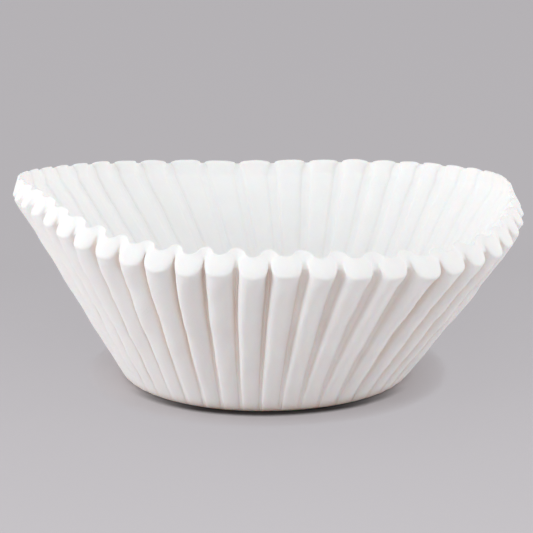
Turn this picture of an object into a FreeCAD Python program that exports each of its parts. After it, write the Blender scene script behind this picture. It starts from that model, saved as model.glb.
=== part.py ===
"""Basket coffee filter: one round sheet of filter paper, pressed into a fluted cup.

The sheet has a flat round base, a wall that leans outward and is gathered into flutes, and
a narrow strip at the rim that is pressed back upright. The flutes take up the paper that the
cup's smaller circumference leaves over, so they start at the base and are deepest at the rim.
Millimetres, +Z up. The origin is the centre of the underside of the base.
"""

import FreeCAD, Part
import math
import os

from FreeCAD import Vector

doc = FreeCAD.newDocument("basket_filter")
sizes = doc.addObject("Spreadsheet::Sheet", "sizes")

# Alias, value and meaning of each driving size
drivingSizes = [
    ("baseDiameter", 82.5, "fold between the flat base and the wall"),
    ("wallSlant", 58.3, "paper from the base fold up to the rim fold"),
    ("pressedAside", 1.5, "how far the base is from the middle of the round"),
    ("pressedTowards", 153.0, "direction in which the wall is longer for that, degrees from +X"),
    ("roundOval", 1.3, "half width of the round, left to right, over its mean radius"),
    ("rimStrip", 4.5, "paper from the rim fold to the cut edge"),
    ("rimStripLean", 25.0, "lean of that strip towards the middle, degrees"),
    ("paperThickness", 0.3, "sheet, with the loft of its creping"),
    ("baseBendRadius", 3.0, "bend between base and wall, at the middle of the sheet"),
    ("rimRadius", 75.0, "mean radius of the rim fold"),
    ("rimShiftRight", 1.0, "how far the rim has sagged towards +X"),
    ("rimShiftBack", 5.1, "how far the rim has sagged towards +Y"),
    ("rimOval", 2.8, "long half axis of the sagged rim over its mean radius"),
    ("rimOvalTowards", 112.5, "direction of that axis, degrees from +X"),
    ("rimCorner", 0.8, "how far the rim has gone square, at its four soft corners"),
    ("rimCornerTowards", 56.0, "direction of one of them, degrees from +X"),
    ("rimRipple", 0.8, "height of the rim's five slow ripples"),
    ("rimRippleTowards", 23.5, "direction of one of them, degrees from +X"),
    ("fluteCount", 50, "flutes around the wall"),
    ("lobeShareFront", 0.72, "part of a flute's width that bulges outward, at the front"),
    ("lobeShareBack", 0.32, "the same at the back"),
    ("lobeShareEdge", 0.45, "the same along the cut edge"),
    ("firstFold", 267.6, "direction of the first inward fold at the base, degrees from +X"),
    ("foldTwist", 3.6, "how far the folds have turned from base to rim, degrees"),
    ("foldDrift", 1.3, "how far they have drifted from an even pitch at the rim, degrees"),
    ("lowerPressing", 8.0, "slant height where the flutes first stand out"),
    ("middlePressing", 24.0, "slant height where they have most of their depth"),
    ("lobeFacets", 4, "flat facets across an outward lobe"),
    ("foldFacets", 2, "flat facets across an inward fold"),
]

# The folds' drift is three slow waves: waves around the cup and direction of a crest, degrees
driftWaves = [(2, 84), (3, -11), (4, 32)]

for row, (alias, value, meaning) in enumerate(drivingSizes, start=1):
    sizes.set(f"A{row}", alias)
    sizes.set(f"B{row}", str(value))
    sizes.set(f"C{row}", meaning)
    sizes.setAlias(f"B{row}", alias)
doc.recompute()

baseRadius = sizes.baseDiameter / 2
halfThickness = sizes.paperThickness / 2
stripLean = math.radians(sizes.rimStripLean)
flutePitch = 2 * math.pi / int(sizes.fluteCount)


def polar(angle, radial, height):
    """Point or direction in the upright plane at this angle from +X."""
    return Vector(radial * math.cos(angle), radial * math.sin(angle), height)


def around(angle):
    """Unit direction in which the angle grows."""
    return Vector(-math.sin(angle), math.cos(angle), 0)


def wave(angle, count, towards):
    """Slow wave around the cup, from -1 to 1, with a crest in the direction towards."""
    return math.cos(count * (angle - math.radians(towards)))


def rimFoldRadius(angle):
    """Radius of the rim fold: a circle that has sagged off centre and out of round."""
    shift = sizes.rimShiftRight * math.cos(angle) + sizes.rimShiftBack * math.sin(angle)
    oval = sizes.rimOval * wave(angle, 2, sizes.rimOvalTowards)
    corner = sizes.rimCorner * wave(angle, 4, sizes.rimCornerTowards)
    ripple = sizes.rimRipple * wave(angle, 5, sizes.rimRippleTowards)
    return sizes.rimRadius + shift + oval + corner + ripple


def slantLength(angle):
    """Paper up the wall to the rim fold, from the round's shape and where it was pressed."""
    aside = sizes.pressedAside * wave(angle, 1, sizes.pressedTowards)
    return sizes.wallSlant + aside + sizes.roundOval * wave(angle, 2, 0)


def wallLean(angle):
    """Lean of the wall from upright, which the rim's radius and its slant length set."""
    return math.asin((rimFoldRadius(angle) - baseRadius) / slantLength(angle))


def bendReach(angle):
    """Paper between the base fold's sharp corner and either end of its bend."""
    return sizes.baseBendRadius * math.tan((math.pi / 2 - wallLean(angle)) / 2)


def wallShare(angle):
    """Part of a flute's width that bulges outward, from front (-Y) to back (+Y)."""
    mean = (sizes.lobeShareFront + sizes.lobeShareBack) / 2
    swing = (sizes.lobeShareFront - sizes.lobeShareBack) / 2
    return mean - swing * math.sin(angle)


def edgeShare(angle):
    return sizes.lobeShareEdge


def lobeMiddle(index, climb):
    """Direction of a lobe: even at the base (climb 0), drifted at the rim (climb 1)."""
    even = math.radians(sizes.firstFold) + (index + 0.5) * flutePitch
    drift = sizes.foldTwist + sum(
        sizes.foldDrift * wave(even, count, towards) for count, towards in driftWaves
    )
    return even + climb * math.radians(drift)


def halfSweep(lengthRatio):
    """Half the sweep of an arc that is lengthRatio times as long as its chord."""
    low = 0.0
    high = math.pi / 2
    for _ in range(40):
        middle = (low + high) / 2
        if middle < lengthRatio * math.sin(middle):
            low = middle
        else:
            high = middle
    return high


def onBaseEdge(angle):
    return polar(angle, baseRadius - bendReach(angle), halfThickness)


def onBendMiddle(angle):
    return onBaseEdge(angle) + (Vector(0, 0, 1) + outOfBend(angle)) * sizes.baseBendRadius


def onBendEnd(angle):
    return onWall(bendReach(angle))(angle)


def onWall(slant):
    """Function that gives the smooth wall's middle surface at one slant height."""
    def place(angle):
        lean = wallLean(angle)
        radial = baseRadius + slant * math.sin(lean)
        return polar(angle, radial, halfThickness + slant * math.cos(lean))
    return place


def onRimFold(angle):
    return onWall(slantLength(angle))(angle)


def onCutEdge(angle):
    strip = polar(angle, -math.sin(stripLean), math.cos(stripLean))
    return onRimFold(angle) + strip * sizes.rimStrip


def outOfBase(angle):
    return Vector(0, 0, -1)


def outOfBend(angle):
    turn = (math.pi / 2 - wallLean(angle)) / 2
    return polar(angle, math.sin(turn), -math.cos(turn))


def outOfWall(angle):
    lean = wallLean(angle)
    return polar(angle, math.cos(lean), -math.sin(lean))


def outOfStrip(angle):
    return polar(angle, math.cos(stripLean), math.sin(stripLean))


def outOfRimFold(angle):
    """Direction halfway between the faces of the wall and of the rim strip."""
    return (outOfWall(angle) + outOfStrip(angle)).normalize()


class Level:
    """One ring of the sheet, from the base out to the cut edge.

    place and outward are functions of the angle: a point of the smooth cup's middle surface,
    and the direction in which the sheet has its thickness there. fluted is the slant height
    that sets the flutes' depth, 0 where there are none, and share the lobes' part of them.
    """

    def __init__(self, place, outward, fluted=0.0, share=wallShare):
        self.place = place
        self.outward = outward
        self.fluted = fluted
        self.share = share

    def pressedRadius(self, angle):
        return baseRadius + self.fluted * math.sin(wallLean(angle))

    def sweep(self, angle):
        """Half sweep of the flute's arcs, from how much the flat ring is gathered."""
        return halfSweep((baseRadius + self.fluted) / self.pressedRadius(angle))

    def bulge(self, angle, width):
        """Height of an arc that spans this width, an angle."""
        return self.pressedRadius(angle) * width * math.tan(self.sweep(angle) / 2) / 2

    def point(self, angle, height, turn, side):
        """Point of the sheet's outer (side 1) or inner (side -1) face.

        height is measured out of the smooth cup, and turn is how far the flute's face is
        turned there from the smooth cup's.
        """
        facing = self.outward(angle) * math.cos(turn) + around(angle) * math.sin(turn)
        lifted = self.place(angle) + outOfWall(angle) * height
        return lifted + facing * (side * halfThickness)

    def arc(self, start, end, direction, facets, side):
        """Points along a lobe (direction 1) or an inward fold (direction -1)."""
        if not self.fluted:
            steps = [start + (end - start) * index / facets for index in range(facets)]
            return [self.point(step, 0, 0, side) for step in steps]
        middle = (start + end) / 2
        turn = direction * self.sweep(middle)
        curve = Part.Arc(
            self.point(start, 0, -turn, side),
            self.point(middle, direction * self.bulge(middle, end - start), 0, side),
            self.point(end, 0, turn, side),
        )
        return curve.discretize(Number=facets + 1)[:-1]

    def outline(self, side):
        """Corners of the whole ring: a lobe and an inward fold for each flute."""
        corners = []
        for index in range(int(sizes.fluteCount)):
            start, end = self.lobe(index)
            foldEnd, _ = self.lobe(index + 1)
            corners += self.arc(start, end, 1, int(sizes.lobeFacets), side)
            corners += self.arc(end, foldEnd, -1, int(sizes.foldFacets), side)
        return corners

    def lobe(self, index):
        """Directions of the two sides of a lobe."""
        middle = lobeMiddle(index, self.fluted / sizes.wallSlant)
        half = flutePitch * self.share(middle) / 2
        return middle - half, middle + half


def flatFace(corners):
    return Part.Face(Part.makePolygon(corners + corners[:1]))


def band(lower, upper):
    """Three-cornered faces that join two rings."""
    faces = []
    for index in range(len(lower)):
        following = (index + 1) % len(lower)
        faces.append(flatFace([lower[index], lower[following], upper[following]]))
        faces.append(flatFace([lower[index], upper[following], upper[index]]))
    return faces


def skin(side):
    """One face of the sheet: the round base and the bands above it."""
    rings = [level.outline(side) for level in levels]
    faces = [flatFace(rings[0])]
    for lower, upper in zip(rings, rings[1:]):
        faces += band(lower, upper)
    return faces


levels = [
    Level(onBaseEdge, outOfBase),
    Level(onBendMiddle, outOfBend),
    Level(onBendEnd, outOfWall),
    Level(onWall(sizes.lowerPressing), outOfWall, sizes.lowerPressing),
    Level(onWall(sizes.middlePressing), outOfWall, sizes.middlePressing),
    Level(onRimFold, outOfRimFold, sizes.wallSlant),
    Level(onCutEdge, outOfStrip, sizes.wallSlant, edgeShare),
]

cutEdge = band(levels[-1].outline(1), levels[-1].outline(-1))
shell = Part.makeShell(skin(1) + cutEdge + skin(-1))
shell.sewShape()

paper = doc.addObject("Part::Feature", "filter_paper")
paper.Label = "filter_paper"
paper.Shape = Part.Solid(shell)
paper.Placement = FreeCAD.Placement()
doc.recompute()

faults = [item.Name for item in doc.Objects if {"Invalid", "Error"} & set(item.State)]
if faults:
    raise RuntimeError(f"not built: {faults}")
if paper.Shape.isNull() or not paper.Shape.isValid() or len(paper.Shape.Solids) != 1:
    raise RuntimeError("filter_paper is not one valid solid")

os.makedirs("parts", exist_ok=True)
paper.Shape.exportStep(f"parts/{paper.Label}.step")

box = paper.Shape.BoundBox
flatDiameter = 2 * (baseRadius + sizes.wallSlant + sizes.rimStrip)
print(f"sheet {flatDiameter:.1f} mm across before folding, {paper.Shape.Volume:.0f} mm3 of paper")
print(f"cup {box.XLength:.1f} x {box.YLength:.1f} x {box.ZLength:.1f} mm")
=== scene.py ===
import math
import random

import bpy
from mathutils import Matrix, Vector, noise


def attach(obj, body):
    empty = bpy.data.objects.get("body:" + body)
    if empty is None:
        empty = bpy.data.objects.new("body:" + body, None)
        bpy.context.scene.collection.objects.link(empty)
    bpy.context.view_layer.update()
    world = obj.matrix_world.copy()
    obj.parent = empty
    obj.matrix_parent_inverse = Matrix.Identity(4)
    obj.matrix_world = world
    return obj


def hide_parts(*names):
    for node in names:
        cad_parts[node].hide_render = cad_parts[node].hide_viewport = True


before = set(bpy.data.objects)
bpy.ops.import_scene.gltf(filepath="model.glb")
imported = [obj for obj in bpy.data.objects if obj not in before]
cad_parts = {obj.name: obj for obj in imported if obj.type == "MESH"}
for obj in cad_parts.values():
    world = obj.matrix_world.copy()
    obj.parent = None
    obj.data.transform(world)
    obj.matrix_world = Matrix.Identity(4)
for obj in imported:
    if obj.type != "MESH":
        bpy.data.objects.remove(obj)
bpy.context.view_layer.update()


# the cup, in metres and degrees. Its sizes are the solid's, apart from the soft rim at the back
cup = {
    "baseRadius": 0.04125,
    "wallSlant": 0.0583,
    "pressedAside": 0.0015,
    "pressedTowards": 153,
    "roundOval": 0.0013,
    "rimStrip": 0.0045,
    "stripLean": 25,           # lean of the rim strip towards the middle
    "stripLeanBack": -22,      # it has opened outward again at the back
    "opensFrom": -0.1,         # where that starts, as the sine of the angle round the cup
    "opensOver": 0.8,
    "sunkBack": 0.0005,        # the wall at the back has sunk a little
    "paper": 0.0003,
    "baseBend": 0.0030,
    "rimBendFront": 0.0006,    # round along the rim fold, crisp in front and soft behind
    "rimBendBack": 0.0042,
    "rimRadius": 0.0750,
    "shiftRight": 0.0010,
    "shiftBack": 0.0051,
    # waves round the rim: how many, how high and which way the first crest lies
    "rimWaves": [(2, 0.0028, 112.5), (4, 0.0008, 56), (5, 0.0008, 23.5)],
}

# the flutes: a lobe outward and a fold inward, fifty times. Angles are in degrees
flute = {
    "count": 50,
    "firstFold": 267.6,
    "twist": 3.6,              # of every flute on the way up
    "drift": 1.3,              # and what each one adds to that, in these waves
    "driftWaves": [(2, 84), (3, -11), (4, 32)],
    "depthFront": 0.0036,      # at the rim
    "depthBack": 0.0010,
    "backReach": 0.6,          # how far round to the sides the shallow back comes
    "growth": 0.66,            # how the depth grows up the wall
    "lobeFront": 0.80,         # share of the width that the lobe takes
    "lobeBack": 0.33,
    "edgeFront": 0.48,         # the same along the cut edge
    "edgeBack": 0.16,
    "edgeFrom": 0.5,           # part of the strip above which the lobe narrows to that
    "edgeDepthFront": 0.85,    # part of the depth that is left at the cut edge
    "edgeDepthBack": 1.90,
    "edgeDepthSides": 0.85,    # and how much of it the sides lose
    "waist": 0.08,             # how much a lobe in front swells on the rim strip
    "waistPace": 1.3,          # more than 1 ends the swelling below the cut edge
    "lobeFlatFront": 2.3,      # 2 is a round lobe, more is flatter, less is pointed
    "lobeFlatBack": 1.5,
    "lobeFlatEdge": 1.6,
    "foldFlatFront": 1.7,
    "foldFlatBack": 2.2,
    "leftUp": -0.45,           # lobes stand prouder on their left
    "leftUpUntil": 0.90,       # part of the wall above which most of that goes
    "leftUpLoss": 0.8,
    "unevenDepth": 0.10,
    "unevenPlace": 0.03,       # of a flute's width
    "unevenWidth": 0.05,
    "unevenSlope": 0.12,
    "wander": 0.08,            # how far a flute's sides wander on the way up, of its width
    "wanderPace": 60,          # how quickly, per metre
    "seed": 7,
    "lobeSteps": 12,
    "foldSteps": 8,
}


def polar(angle, radial, height):
    return Vector((radial * math.cos(angle), radial * math.sin(angle), height))


def wave(angle, count, towards):
    return math.cos(count * (angle - math.radians(towards)))


def clamp(value):
    return min(max(value, 0), 1)


def easeIn(value):
    value = clamp(value)
    return value * value * (3 - 2 * value)


# from the front (-Y) of the cup to its back
def frontToBack(angle, front, back):
    return (front + back) / 2 - (front - back) / 2 * math.sin(angle)


def rimFoldRadius(angle):
    shift = cup["shiftRight"] * math.cos(angle) + cup["shiftBack"] * math.sin(angle)
    sag = sum(high * wave(angle, count, towards) for count, high, towards in cup["rimWaves"])
    return cup["rimRadius"] + shift + sag


def slantLength(angle):
    aside = cup["pressedAside"] * wave(angle, 1, cup["pressedTowards"])
    sunk = cup["sunkBack"] * easeIn(math.sin(angle))
    return cup["wallSlant"] + aside + cup["roundOval"] * wave(angle, 2, 0) - sunk


def wallLean(angle):
    return math.asin((rimFoldRadius(angle) - cup["baseRadius"]) / slantLength(angle))


# how far up the wall and up the rim strip a run is, each from 0 to 1
def wallPart(run):
    return clamp(run / cup["wallSlant"])


def stripPart(run):
    return clamp((run - cup["wallSlant"]) / cup["rimStrip"])


# the cup without its flutes. Run is the paper from the base fold outward, in the mean slant
# length: below 0 it is base, and past that length it is strip
def smoothCup(angle, run):
    lean = wallLean(angle)
    slant = slantLength(angle)
    soft = easeIn((math.sin(angle) - cup["opensFrom"]) / cup["opensOver"])
    strip = math.radians(cup["stripLean"] + (cup["stripLeanBack"] - cup["stripLean"]) * soft)
    wall = Vector((math.sin(lean), math.cos(lean)))
    up = Vector((-math.sin(strip), math.cos(strip)))
    baseTurn = math.pi / 2 - lean
    reach = cup["baseBend"] * math.tan(baseTurn / 2)
    corner = Vector((cup["baseRadius"], cup["paper"] / 2))
    past = run - cup["wallSlant"]
    stretched = run + (slant - cup["wallSlant"]) * easeIn(run / cup["wallSlant"])
    if stretched < reach:
        # round bend between base and wall
        start = corner - Vector((reach, 0))
        part = (stretched + reach) / (2 * reach) * baseTurn
        return start + cup["baseBend"] * Vector((math.sin(part), 1 - math.cos(part)))
    rimTurn = lean + strip
    rimBend = cup["rimBendFront"] + (cup["rimBendBack"] - cup["rimBendFront"]) * soft
    rimReach = rimBend * math.tan(rimTurn / 2)
    rim = corner + wall * slant
    if past < -rimReach:
        return rim + wall * (stretched - slant)
    if past > rimReach:
        return rim + up * past
    # small round along the rim fold
    turn = lean - (past + rimReach) / (2 * rimReach) * rimTurn
    out = Vector((math.cos(turn), -math.sin(turn)))
    first = Vector((math.cos(lean), -math.sin(lean)))
    return rim - wall * rimReach + (out - first) * rimBend


# fifty flutes, no two quite alike
def makeFlutes():
    random.seed(flute["seed"])
    flutes = []
    pitch = 2 * math.pi / flute["count"]
    for index in range(flute["count"]):
        middle = math.radians(flute["firstFold"]) + (index + 0.5) * pitch
        drift = flute["twist"] + flute["drift"] * sum(
            wave(middle, count, towards) for count, towards in flute["driftWaves"]
        )
        flutes.append({
            "middle": middle,
            "drift": math.radians(drift),
            "deep": 1 + random.uniform(-1, 1) * flute["unevenDepth"],
            "aside": random.uniform(-1, 1) * flute["unevenPlace"] * pitch,
            "wide": 1 + random.uniform(-1, 1) * flute["unevenWidth"],
            "slope": flute["leftUp"] + random.uniform(-1, 1) * flute["unevenSlope"],
            "phase": 10 * index,       # a place of its own in the noise
        })
    return flutes


# half of a superellipse: where a point stands across and out of a lobe or a fold
def roundedBox(part, power):
    turn = math.pi * part
    across = -math.copysign(abs(math.cos(turn)) ** (2 / power), math.cos(turn))
    out = abs(math.sin(turn)) ** (2 / power)
    return across, out


# where a lobe starts and ends at this run, as angles
def lobeSpan(one, run):
    climb = wallPart(run)
    past = stripPart(run)
    middle = one["middle"] + (one["drift"] + one["aside"]) * climb
    share = frontToBack(middle, flute["lobeFront"], flute["lobeBack"]) * one["wide"]
    edge = frontToBack(middle, flute["edgeFront"], flute["edgeBack"])
    # the lobe swells on the strip and gives way to the fold at the edge
    waist = frontToBack(middle, flute["waist"], 0)
    share += waist * math.sin(math.pi * min(past * flute["waistPace"], 1))
    turning = easeIn((past - flute["edgeFrom"]) / (1 - flute["edgeFrom"]))
    share += (edge - share) * turning
    half = share * math.pi / flute["count"]
    sway = flute["wander"] * half * climb
    pace = run * flute["wanderPace"]
    left = noise.noise(Vector((one["phase"], pace, 0))) * sway
    right = noise.noise(Vector((one["phase"], pace, 5))) * sway
    return middle - half + left, middle + half + right


# how deep a flute is at this run
def fluteDepth(one, angle, run):
    shallow = easeIn(math.sin(angle) + flute["backReach"])
    deep = flute["depthFront"] + (flute["depthBack"] - flute["depthFront"]) * shallow
    edge = frontToBack(angle, flute["edgeDepthFront"], flute["edgeDepthBack"])
    edge -= flute["edgeDepthSides"] * math.cos(angle) ** 2
    kept = 1 - (1 - edge) * easeIn(stripPart(run))
    return deep * one["deep"] * wallPart(run) ** flute["growth"] * kept


def ringPoints(flutes, run):
    points = []
    past = easeIn(stripPart(run))
    until = flute["leftUpUntil"]
    crisp = 1 - flute["leftUpLoss"] * easeIn((wallPart(run) - until) / (1 - until))
    spans = [lobeSpan(one, run) for one in flutes]
    for index, one in enumerate(flutes):
        start, end = spans[index]
        foldEnd = spans[(index + 1) % flute["count"]][0]
        if foldEnd < end:
            foldEnd += 2 * math.pi
        foldFlat = frontToBack(end, flute["foldFlatFront"], flute["foldFlatBack"])
        lobeFlat = frontToBack(end, flute["lobeFlatFront"], flute["lobeFlatBack"])
        lobeFlat += (flute["lobeFlatEdge"] - lobeFlat) * past
        depth = fluteDepth(one, end, run)
        share = (end - start) / (foldEnd - start)
        for step in range(flute["lobeSteps"]):
            across, out = roundedBox(step / flute["lobeSteps"], lobeFlat)
            lift = depth * share * out * (1 + one["slope"] * across * crisp)
            angle = (start + end) / 2 + across * (end - start) / 2
            points.append(surfacePoint(angle, run, lift))
        for step in range(flute["foldSteps"]):
            across, out = roundedBox(step / flute["foldSteps"], foldFlat)
            lift = -depth * (1 - share) * out
            angle = (end + foldEnd) / 2 + across * (foldEnd - end) / 2
            points.append(surfacePoint(angle, run, lift))
    return points


# soft dents all over the wall, growing from nothing at the base
dents = {
    "round": 9,                # pace round the cup
    "up": 90,                  # and up the wall, per metre
    "deep": 0.0005,
    "fine": 2.7,               # the finer ones are this much closer together
    "fineDeep": 0.0003,
    "fullFrom": 0.5,           # part of the wall above which they are at full depth
}


# a point of the paper, lifted off the smooth cup
def surfacePoint(angle, run, lift):
    spot = smoothCup(angle, run)
    lean = wallLean(angle)
    where = Vector((math.cos(angle) * dents["round"], math.sin(angle) * dents["round"],
                    run * dents["up"]))
    dent = noise.noise(where) * dents["deep"]
    dent += noise.noise(where * dents["fine"]) * dents["fineDeep"]
    lift += dent * min(wallPart(run) / dents["fullFrom"], 1)
    place = spot + Vector((math.cos(lean), -math.sin(lean))) * lift
    return polar(angle, place.x, place.y)


# where the rings of the mesh lie, in metres of paper
spacing = {
    "baseBend": 4,             # rings across the bend between base and wall
    "bendReach": 0.5,          # half its length, in bend radii
    "wall": 24,
    "crowding": 1.15,          # more than 1 crowds them towards the base
    "wallStops": 0.0030,       # short of the rim fold
    "rimFold": [-0.0023, -0.0016, -0.0010, -0.0005, -0.0002, 0.0, 0.0002, 0.0005],
    "strip": 9,
    "stripFrom": 0.0009,
    "baseShares": [0.9, 0.5],  # the rings inside the base, as parts of its radius
}


def makeRuns():
    bend = spacing["baseBend"]
    reach = cup["baseBend"] * spacing["bendReach"]
    runs = [-reach + 2 * reach * step / bend for step in range(bend)]
    wallTop = cup["wallSlant"] - spacing["wallStops"]
    for step in range(spacing["wall"]):
        climb = (step / (spacing["wall"] - 1)) ** spacing["crowding"]
        runs.append(reach + (wallTop - reach) * climb)
    strip = cup["rimStrip"] - spacing["stripFrom"]
    last = spacing["strip"] - 1
    past = spacing["rimFold"] + [
        spacing["stripFrom"] + strip * step / last for step in range(spacing["strip"])
    ]
    return runs + [cup["wallSlant"] + beyond for beyond in past]


# four-cornered faces between two rings, given by their first corners
def ringFaces(lower, upper, count):
    faces = []
    for step in range(count):
        after = (step + 1) % count
        faces.append((lower + step, lower + after, upper + after, upper + step))
    return faces


def makePaper():
    flutes = makeFlutes()
    rings = [ringPoints(flutes, run) for run in makeRuns()]
    perRing = len(rings[0])
    vertices = [point for ring in rings for point in ring]
    faces = []
    for level in range(len(rings) - 1):
        faces += ringFaces(level * perRing, (level + 1) * perRing, perRing)
    # the base disc: the first ring drawn in towards the middle
    outer = 0
    for share in spacing["baseShares"]:
        inner = len(vertices)
        for point in rings[0]:
            vertices.append(Vector((point.x * share, point.y * share, cup["paper"] / 2)))
        faces += ringFaces(inner, outer, perRing)
        outer = inner
    middle = len(vertices)
    vertices.append(Vector((0, 0, cup["paper"] / 2)))
    for step in range(perRing):
        faces.append((middle, outer + (step + 1) % perRing, outer + step))
    mesh = bpy.data.meshes.new("filterPaper")
    mesh.from_pydata([tuple(point) for point in vertices], [], faces)
    mesh.polygons.foreach_set("use_smooth", [True] * len(mesh.polygons))
    paper = bpy.data.objects.new("filterPaper", mesh)
    bpy.context.scene.collection.objects.link(paper)
    thick = paper.modifiers.new("thickness", "SOLIDIFY")
    thick.thickness = cup["paper"]
    thick.offset = 0
    thick.use_even_offset = False
    return paper


# short ways to add nodes to a material
def mixColours(tree, factor, low, high):
    mix = tree.nodes.new("ShaderNodeMix")
    mix.data_type = "RGBA"
    mix.inputs["A"].default_value = low
    mix.inputs["B"].default_value = high
    tree.links.new(factor, mix.inputs["Factor"])
    return mix


def stretch(tree, value, low, high):
    spread = tree.nodes.new("ShaderNodeMapRange")
    spread.inputs["From Min"].default_value = low
    spread.inputs["From Max"].default_value = high
    tree.links.new(value, spread.inputs["Value"])
    return spread.outputs["Result"]


# how open a place is, 0 to 1, looking this far around it
def openness(tree, distance):
    near = tree.nodes.new("ShaderNodeAmbientOcclusion")
    near.inputs["Distance"].default_value = distance
    return near.outputs["AO"]


def calculate(tree, operation, first, second):
    node = tree.nodes.new("ShaderNodeMath")
    node.operation = operation
    for socket, value in zip(node.inputs, (first, second)):
        if isinstance(value, (int, float)):
            socket.default_value = value
        else:
            tree.links.new(value, socket)
    return node.outputs[0]


# scales are per metre
paperLook = {
    "white": (0.92, 0.908, 0.905, 1),
    "shade": (0.88, 0.866, 0.857, 1),
    "clouds": 150,             # scale of the drift between those two
    "cloudDetail": 6,
    # painted shade: the darker, warmer colour put deep in the folds
    "fold": (0.82, 0.75, 0.71, 1),
    "foldReach": 0.004,
    "foldOpen": (0.30, 0.80),  # painted fold shade at the first openness, none at the second
    "roughness": 0.85,
    "shine": 0.25,
    "through": 0.45,           # light that passes into the paper
    "throughRadius": (1.0, 0.55, 0.4),
    "throughScale": 0.0012,
    "crepe": 1500,
    "crepeDetail": 5,
    "crepeStrength": 0.45,
    "crepeHeight": 0.0002,
}


def crepedPaper():
    material = bpy.data.materials.new("crepedPaper")
    material.use_nodes = True
    tree = material.node_tree
    shader = tree.nodes["Principled BSDF"]
    shader.inputs["Roughness"].default_value = paperLook["roughness"]
    shader.inputs["Specular IOR Level"].default_value = paperLook["shine"]
    shader.inputs["Subsurface Weight"].default_value = paperLook["through"]
    shader.inputs["Subsurface Radius"].default_value = paperLook["throughRadius"]
    shader.inputs["Subsurface Scale"].default_value = paperLook["throughScale"]
    place = tree.nodes.new("ShaderNodeTexCoord")
    clouds = tree.nodes.new("ShaderNodeTexNoise")
    clouds.inputs["Scale"].default_value = paperLook["clouds"]
    clouds.inputs["Detail"].default_value = paperLook["cloudDetail"]
    tree.links.new(place.outputs["Object"], clouds.inputs["Vector"])
    tint = mixColours(tree, clouds.outputs["Fac"], paperLook["shade"], paperLook["white"])
    # painted shade: the paper's colour is made darker and warmer deep in the folds, by how
    # closed in a place is
    unfolded = stretch(tree, openness(tree, paperLook["foldReach"]), *paperLook["foldOpen"])
    foldShaded = mixColours(tree, unfolded, paperLook["fold"], paperLook["white"])
    tree.links.new(tint.outputs["Result"], foldShaded.inputs["B"])
    tree.links.new(foldShaded.outputs["Result"], shader.inputs["Base Color"])
    crepe = tree.nodes.new("ShaderNodeTexNoise")
    crepe.inputs["Scale"].default_value = paperLook["crepe"]
    crepe.inputs["Detail"].default_value = paperLook["crepeDetail"]
    tree.links.new(place.outputs["Object"], crepe.inputs["Vector"])
    bump = tree.nodes.new("ShaderNodeBump")
    bump.inputs["Strength"].default_value = paperLook["crepeStrength"]
    bump.inputs["Distance"].default_value = paperLook["crepeHeight"]
    tree.links.new(crepe.outputs["Fac"], bump.inputs["Height"])
    tree.links.new(bump.outputs["Normal"], shader.inputs["Normal"])
    return material


paper = makePaper()
paper.data.materials.append(crepedPaper())
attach(paper, "root")
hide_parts("filter_paper")
print("paper made,", len(paper.data.polygons), "faces before thickness")


# the board that the cup stands on. Places along it are in metres, with the front at -Y
board = {
    "size": 3.0,
    "colour": (0.58, 0.555, 0.57, 1),
    "roughness": 0.9,
    "shine": 0.1,
    # painted shadow: the dark colour put in the thin gap under the front of the base
    "paintedGapShadow": (0.06, 0.055, 0.055, 1),
    "gapReach": 0.0035,
    "gapOpen": (0.45, 0.85),   # painted gap shadow at the first openness, none at the second
    "gapFront": (-0.018, -0.038),  # none behind the first place, all of it past the second
    # painted light falloff: the floor's seen colour is darker far and lighter near
    "seenFar": (0.452, 0.436, 0.456, 1),
    "seenNear": (0.575, 0.555, 0.580, 1),
    "seenPlaces": (0.12, -0.16),
    "seenShare": 0.84,         # the rest is the lit board with its shadows
    "shadowReach": 0.010,
    "shadowPower": 5,          # more keeps the plain colour further from the cup
}


def paleBoard():
    material = bpy.data.materials.new("paleBoard")
    material.use_nodes = True
    tree = material.node_tree
    shader = tree.nodes["Principled BSDF"]
    shader.inputs["Roughness"].default_value = board["roughness"]
    shader.inputs["Specular IOR Level"].default_value = board["shine"]
    place = tree.nodes.new("ShaderNodeTexCoord")
    split = tree.nodes.new("ShaderNodeSeparateXYZ")
    tree.links.new(place.outputs["Object"], split.inputs["Vector"])
    # painted shadow: the board's colour is made dark in the thin gap under the base fold in
    # front, by how closed in it is
    gap = stretch(tree, openness(tree, board["gapReach"]), *board["gapOpen"])
    under = tree.nodes.new("ShaderNodeMix")
    under.inputs["A"].default_value = 1.0      # no painted shadow away from the front
    tree.links.new(stretch(tree, split.outputs["Y"], *board["gapFront"]), under.inputs["Factor"])
    tree.links.new(gap, under.inputs["B"])
    boardWithPaintedShadow = mixColours(tree, under.outputs["Result"], board["paintedGapShadow"], board["colour"])
    tree.links.new(boardWithPaintedShadow.outputs["Result"], shader.inputs["Base Color"])
    # seen directly, it is mostly a plain colour with a painted falloff of light, darker far and
    # lighter near, but not right under the cup
    along = stretch(tree, split.outputs["Y"], *board["seenPlaces"])
    tone = mixColours(tree, along, board["seenFar"], board["seenNear"])
    plain = tree.nodes.new("ShaderNodeEmission")
    tree.links.new(tone.outputs["Result"], plain.inputs["Color"])
    path = tree.nodes.new("ShaderNodeLightPath")
    clear = calculate(tree, "POWER", openness(tree, board["shadowReach"]), board["shadowPower"])
    seen = calculate(tree, "MULTIPLY", path.outputs["Is Camera Ray"], clear)
    blend = tree.nodes.new("ShaderNodeMixShader")
    share = calculate(tree, "MULTIPLY", seen, board["seenShare"])
    tree.links.new(share, blend.inputs["Fac"])
    tree.links.new(shader.outputs["BSDF"], blend.inputs[1])
    tree.links.new(plain.outputs["Emission"], blend.inputs[2])
    tree.links.new(blend.outputs["Shader"], tree.nodes["Material Output"].inputs["Surface"])
    return material


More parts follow.
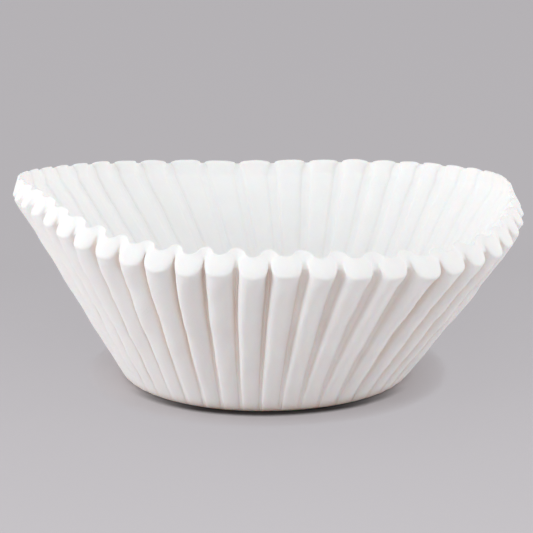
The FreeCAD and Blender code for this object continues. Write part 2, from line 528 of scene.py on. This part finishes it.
def makeFloor():
    size = board["size"]
    corners = [(-size, -size, 0), (size, -size, 0), (size, size, 0), (-size, size, 0)]
    mesh = bpy.data.meshes.new("floor")
    mesh.from_pydata(corners, [], [(0, 1, 2, 3)])
    mesh.materials.append(paleBoard())
    floor = bpy.data.objects.new("floor", mesh)
    bpy.context.scene.collection.objects.link(floor)


# a pale room all round, and lamps that point at the cup: place, size and watts
light = {
    "room": 0.755,
    "lamps": {
        "overhead": ((-0.30, -0.25, 1.25), 1.2, 2.0),
        "left": ((-1.20, -0.62, 0.36), 0.6, 6.8),
        "right": ((1.35, -0.35, 0.38), 0.6, 4.9),
    },
}


def makeLights():
    world = bpy.data.worlds.new("room")
    bpy.context.scene.world = world
    world.use_nodes = True
    backdrop = world.node_tree.nodes["Background"]
    backdrop.inputs["Color"].default_value = (1, 1, 1, 1)
    backdrop.inputs["Strength"].default_value = light["room"]
    for name, (where, size, watts) in light["lamps"].items():
        lamp = bpy.data.lights.new(name, "AREA")
        lamp.size = size
        lamp.energy = watts
        holder = bpy.data.objects.new(name, lamp)
        holder.location = where
        holder.rotation_euler = (-Vector(where)).to_track_quat("-Z", "Y").to_euler()
        bpy.context.scene.collection.objects.link(holder)


# where the photograph was taken from, and where the base's centre falls in it
shot = {
    "elevation": 17.3,
    "distance": 0.627,
    "focalPixels": 2125,
    "baseAt": (266.0, 368.0),
    "frame": 533,
    "turn": -0.44,             # of the camera about its own line of sight
    "sensor": 36,
}


def makeCamera():
    data = bpy.data.cameras.new("camera")
    data.sensor_width = shot["sensor"]
    data.lens = shot["sensor"] * shot["focalPixels"] / shot["frame"]
    camera = bpy.data.objects.new("camera", data)
    bpy.context.scene.collection.objects.link(camera)
    rise = math.radians(shot["elevation"])
    camera.location = (0, -shot["distance"] * math.cos(rise), shot["distance"] * math.sin(rise))
    turn = math.radians(shot["turn"])
    right = shot["baseAt"][0] - shot["frame"] / 2
    down = shot["baseAt"][1] - shot["frame"] / 2
    aside = (right * math.cos(turn) + down * math.sin(turn)) / shot["focalPixels"]
    below = (down * math.cos(turn) - right * math.sin(turn)) / shot["focalPixels"]
    pitch = math.pi / 2 - rise + math.atan(below)
    aimed = Matrix.Rotation(math.atan(aside), 4, "Z") @ Matrix.Rotation(pitch, 4, "X")
    camera.rotation_euler = (aimed @ Matrix.Rotation(turn, 4, "Z")).to_euler()
    bpy.context.scene.camera = camera


makeFloor()
makeLights()
makeCamera()
bpy.context.scene.view_settings.view_transform = "Standard"
print("floor, lamps and camera placed")
